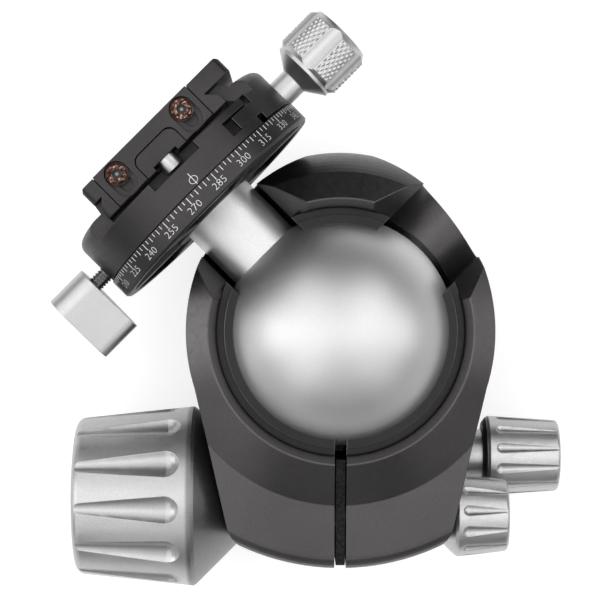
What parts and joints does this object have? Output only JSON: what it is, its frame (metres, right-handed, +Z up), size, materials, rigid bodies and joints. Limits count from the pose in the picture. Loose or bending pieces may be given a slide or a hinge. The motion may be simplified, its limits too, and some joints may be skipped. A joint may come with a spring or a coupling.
{
  "type": "tripod ball head",
  "caption": "Tripod ball head on a panning base, with lock, friction and pan knobs, two drop notches, and a panning screw clamp that holds a quick-release plate.",
  "frame": {"origin": "centre of the base's underside, on the pan axis and at the mouth of the tripod screw's hole", "axes": "+Z up along the pan axis, -Y towards the slit at the front of the housing, -X towards the lock knob"},
  "size_m": [0.1253, 0.1403, 0.0768],
  "materials": {
    "housing_anodised": "dark titanium-grey anodise, fine satin",
    "clamp_anodised": "black-grey anodise, satin",
    "knob_silver": "silver anodise, satin",
    "knob_bright": "machined and bead-blasted, bright",
    "ball_surface": "bead-blasted, bright satin",
    "stem_steel": "turned and brushed",
    "steel": "plain",
    "black_steel": "black oxide",
    "copper_screw": "dark copper-coloured, grainy",
    "race_anodised": "dark grey anodise, satin",
    "bearing_polymer": "matt",
    "black_polymer": "matt, grainy",
    "brass": "plain",
    "rubber": "matt"
  },
  "bodies": {
    "base": {"base_plate": "housing_anodised", "low_washer": "bearing_polymer", "up_washer": "bearing_polymer", "spindle_retainer": "steel", "retainer_screws": "black_steel"},
    "housing": {"housing": "housing_anodised", "ball_race": "race_anodised", "ball_seat": "bearing_polymer", "slit_pad": "black_polymer", "pan_bush": "knob_silver", "brake_pin": "brass", "lock_washer": "black_polymer"},
    "lock_knob": {"lock_knob": "knob_silver", "lock_screw": "steel", "lock_cap": "knob_silver"},
    "friction_knob": {"friction_knob": "knob_silver", "friction_screw": "steel"},
    "pan_knob": {"pan_knob": "knob_silver", "pan_screw": "steel", "pan_ring": "black_polymer"},
    "ball": {"ball": "ball_surface", "stem": "stem_steel", "pan_disc": "clamp_anodised", "pan_washer": "bearing_polymer", "pan_journal": "steel", "journal_cap": "steel", "stem_bolt": "black_steel"},
    "clamp": {"clamp_body": "clamp_anodised", "jaw_springs": "steel", "brake_shoe": "brass"},
    "jaw": {"moving_jaw": "clamp_anodised", "guide_pins": "steel"},
    "clamp_knob": {"clamp_knob": "knob_bright", "clamp_screw": "steel"},
    "pan_lever": {"pan_lever": "knob_bright", "lever_screw": "steel"},
    "plate": {"quick_plate": "clamp_anodised", "plate_strips": "rubber", "stop_screws": "steel", "lip_screws": "copper_screw"},
    "lip": {"plate_lip": "clamp_anodised"}
  },
  "joints": [
    {"name": "base_pan", "type": "hinge", "parent": "base", "child": "housing", "pos_m": [0, 0, 0.009], "axis": [0, 0, 1], "continuous": true},
    {"name": "lock_knob_turn", "type": "hinge", "parent": "housing", "child": "lock_knob", "pos_m": [-0.05, -0.0412, 0.0295], "axis": [-1, 0, 0], "range_deg": [-45, 135]},
    {"name": "friction_knob_turn", "type": "hinge", "parent": "housing", "child": "friction_knob", "pos_m": [0.036, -0.0452, 0.0375], "axis": [1, 0, 0], "range_deg": [-180, 540]},
    {"name": "pan_knob_turn", "type": "hinge", "parent": "housing", "child": "pan_knob", "pos_m": [0.047, -0.0317, 0.0225], "axis": [1, 0, 0], "range_deg": [-45, 270]},
    {"name": "ball_lift", "type": "hinge", "parent": "housing", "child": "ball", "pos_m": [0, 0, 0.0465], "axis": [0.7071, 0.7071, 0], "range_deg": [0, 125]},
    {"name": "clamp_pan", "type": "hinge", "parent": "ball", "child": "clamp", "pos_m": [-0.03394, 0.03394, 0.0465], "axis": [-0.7071, 0.7071, 0], "continuous": true},
    {"name": "clamp_knob_turn", "type": "hinge", "parent": "jaw", "child": "clamp_knob", "pos_m": [-0.00453, 0.06675, 0.0465], "axis": [0.7071, 0.7071, 0], "range_deg": [0, 1296]},
    {"name": "jaw_slide", "type": "slide", "parent": "clamp", "child": "jaw", "axis": [0.7071, 0.7071, 0], "range_m": [0, 0.0036]},
    {"name": "pan_lever_turn", "type": "hinge", "parent": "clamp", "child": "pan_lever", "pos_m": [-0.06258, 0.00742, 0.0465], "axis": [-0.7071, -0.7071, 0], "range_deg": [-20, 180]},
    {"name": "plate_slide", "type": "slide", "parent": "clamp", "child": "plate", "axis": [0, 0, 1], "range_m": [-0.002, 0.002]},
    {"name": "lip_slide", "type": "slide", "parent": "plate", "child": "lip", "axis": [-0.7071, 0.7071, 0], "range_m": [0, 0.0033]}
  ],
  "couplings": [
    {"joint": "clamp_knob_turn", "follows": "jaw_slide", "rad_per_m": 6283.1}
  ]
}
